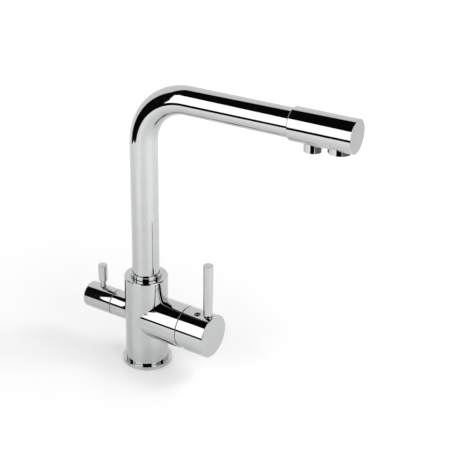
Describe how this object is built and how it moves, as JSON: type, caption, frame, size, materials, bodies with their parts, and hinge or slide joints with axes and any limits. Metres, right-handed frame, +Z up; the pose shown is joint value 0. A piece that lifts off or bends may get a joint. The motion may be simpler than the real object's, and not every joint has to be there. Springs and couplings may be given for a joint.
{
  "type": "filtered water mixer tap",
  "caption": "Deck-mounted kitchen tap: round body, side mixer with pin lever, smaller filter valve opposite, and a swivelling L-shaped spout with separate mixed and filtered water outlets.",
  "frame": {"origin": "centre of the base, on the worktop", "axes": "+Z up along the body, +X along the valve axis towards the mixer lever, -Y towards the person at the sink; the spout rests 3.3 degrees from +X"},
  "size_m": [0.2945, 0.0546, 0.315],
  "materials": {
    "chrome": "mirror polished plating",
    "brass": "turned",
    "steel": "plain",
    "rubber": "matt black",
    "plastic": "moulded, off white",
    "ceramic": "ground ceramic"
  },
  "bodies": {
    "tap_body": {"body": "chrome", "base_flange": "chrome", "base_gasket": "rubber", "spout_grub_screw": "steel", "cartridge_hot_seal": "rubber", "cartridge_cold_seal": "rubber", "cartridge_outlet_seal": "rubber", "cartridge_base": "plastic", "cartridge_shell": "plastic", "cartridge_fixed_disc": "ceramic", "cartridge_nut": "brass", "mixer_dome": "chrome", "filter_valve_body": "brass", "filter_valve_o_ring": "rubber", "filter_seat_washer": "rubber", "filter_fixed_disc": "ceramic"},
    "spout": {"spout_tube": "chrome", "spout_collar": "chrome", "spout_nipple": "brass", "spout_o_ring_lower": "rubber", "spout_o_ring_upper": "rubber", "spout_glide_lower": "plastic", "spout_glide_upper": "plastic", "filtered_water_tube": "plastic", "tube_fitting": "brass", "tube_fitting_o_ring": "rubber", "spout_head": "chrome", "head_o_ring": "rubber", "aerator_shell": "chrome", "aerator_insert": "plastic", "aerator_washer": "rubber", "filter_outlet_shell": "chrome", "filter_outlet_insert": "plastic", "filter_outlet_washer": "rubber"},
    "mixer_rotor": {"cartridge_rotor": "plastic", "cartridge_pivot_pin": "steel", "cartridge_rotor_o_ring": "rubber"},
    "mixer_disc": {"cartridge_disc_carrier": "plastic", "cartridge_moving_disc": "ceramic"},
    "mixer_handle": {"cartridge_stem": "brass", "mixer_cap": "chrome", "mixer_lever": "chrome", "mixer_grub_screw": "steel"},
    "filter_handle": {"filter_spindle": "brass", "filter_moving_disc": "ceramic", "filter_spindle_o_ring": "rubber", "filter_circlip": "steel", "filter_cap": "chrome", "filter_lever": "chrome", "filter_grub_screw": "steel"}
  },
  "joints": [
    {"name": "spout_swivel", "type": "hinge", "parent": "tap_body", "child": "spout", "pos_m": [0, 0, 0.1], "axis": [0, 0, 1], "range_deg": [-170, 170]},
    {"name": "mixer_temperature", "type": "hinge", "parent": "tap_body", "child": "mixer_rotor", "pos_m": [0.05, 0, 0.055], "axis": [1, 0, 0], "range_deg": [-50, 50]},
    {"name": "mixer_flow", "type": "hinge", "parent": "mixer_rotor", "child": "mixer_handle", "pos_m": [0.05, 0, 0.055], "axis": [0, 1, 0], "range_deg": [0, 20]},
    {"name": "mixer_disc_slide", "type": "slide", "parent": "mixer_rotor", "child": "mixer_disc", "axis": [0, 0, 1], "range_m": [0, 0.0049]},
    {"name": "filter_turn", "type": "hinge", "parent": "tap_body", "child": "filter_handle", "pos_m": [-0.055, 0, 0.055], "axis": [1, 0, 0], "range_deg": [0, 90]}
  ],
  "couplings": [
    {"joint": "mixer_disc_slide", "follows": "mixer_flow", "m_per_rad": 0.014}
  ]
}
